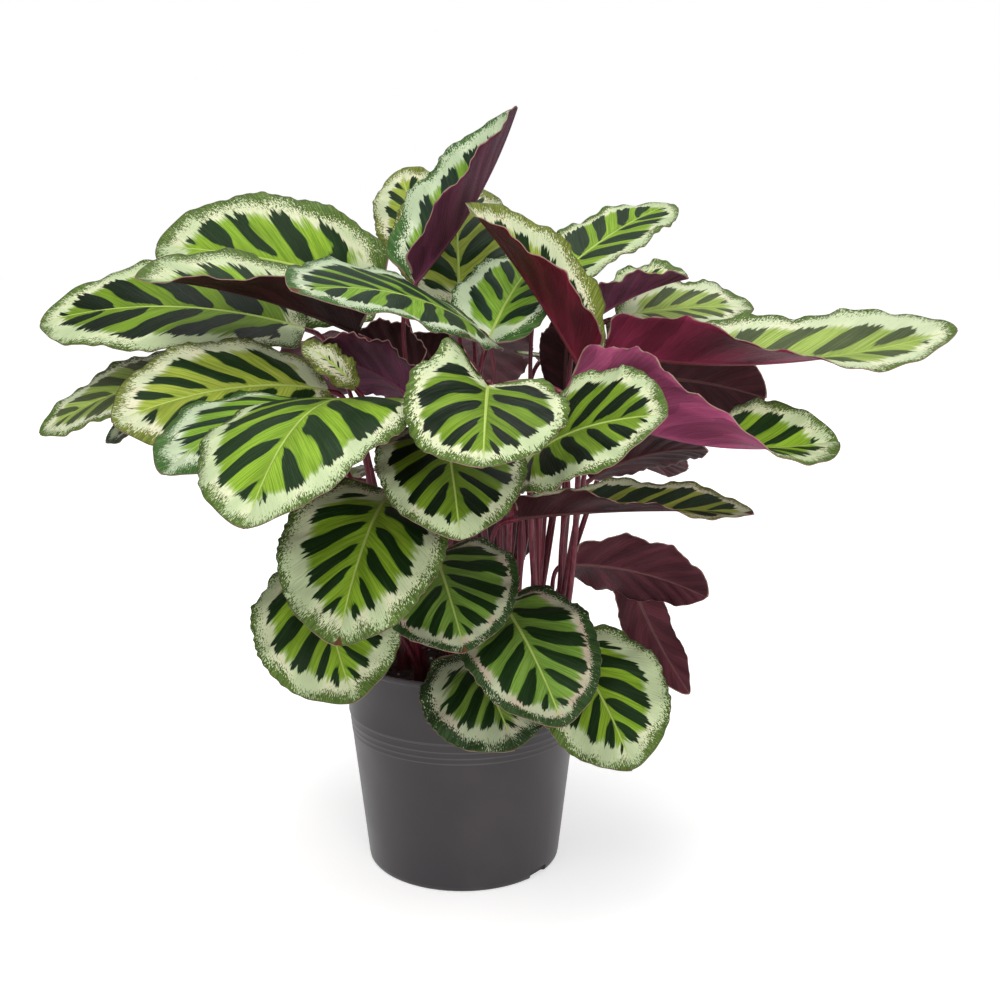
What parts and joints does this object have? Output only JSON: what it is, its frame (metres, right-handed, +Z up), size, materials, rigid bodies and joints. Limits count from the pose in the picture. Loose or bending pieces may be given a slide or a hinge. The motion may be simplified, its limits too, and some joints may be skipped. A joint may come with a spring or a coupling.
{
  "type": "potted calathea",
  "caption": "Bushy prayer plant with feather-patterned, waved leaves on maroon stalks, standing in a plain tapered nursery pot filled with soil.",
  "frame": {"origin": "centre of the pot's flat underside, on the surface the pot stands on", "axes": "+Z up the pot's axis; +X along the foliage's widest spread, to the viewer's right; -Y toward the plant's front"},
  "size_m": [0.6772, 0.5938, 0.6054],
  "materials": {
    "pot_plastic": "matte",
    "soil": "matte",
    "stalk": "satin",
    "blade": "satin"
  },
  "bodies": {
    "root": {"pot": "pot_plastic", "soil": "soil", "shoot_01": "stalk", "shoot_02": "stalk", "shoot_03": "stalk", "shoot_04": "stalk", "shoot_05": "stalk", "shoot_06": "stalk", "shoot_07": "stalk", "shoot_08": "stalk", "shoot_09": "stalk", "shoot_10": "stalk", "shoot_11": "stalk", "shoot_12": "stalk", "blade_01": "blade", "blade_02": "blade", "blade_03": "blade", "blade_04": "blade", "blade_05": "blade", "blade_06": "blade", "blade_07": "blade", "blade_08": "blade", "blade_09": "blade", "blade_10": "blade", "blade_11": "blade", "blade_12": "blade", "blade_13": "blade", "blade_14": "blade", "blade_15": "blade", "blade_16": "blade", "blade_17": "blade", "blade_18": "blade", "blade_19": "blade", "blade_20": "blade", "blade_21": "blade", "blade_22": "blade", "blade_23": "blade", "blade_24": "blade", "blade_25": "blade", "blade_26": "blade", "blade_27": "blade", "blade_28": "blade", "blade_29": "blade", "blade_30": "blade", "blade_31": "blade", "blade_32": "blade", "blade_33": "blade", "blade_34": "blade", "blade_35": "blade", "blade_36": "blade", "blade_37": "blade", "blade_38": "blade", "blade_39": "blade", "blade_40": "blade", "blade_41": "blade", "blade_42": "blade", "blade_43": "blade", "blade_44": "blade", "blade_45": "blade", "blade_46": "blade"}
  },
  "joints": []
}
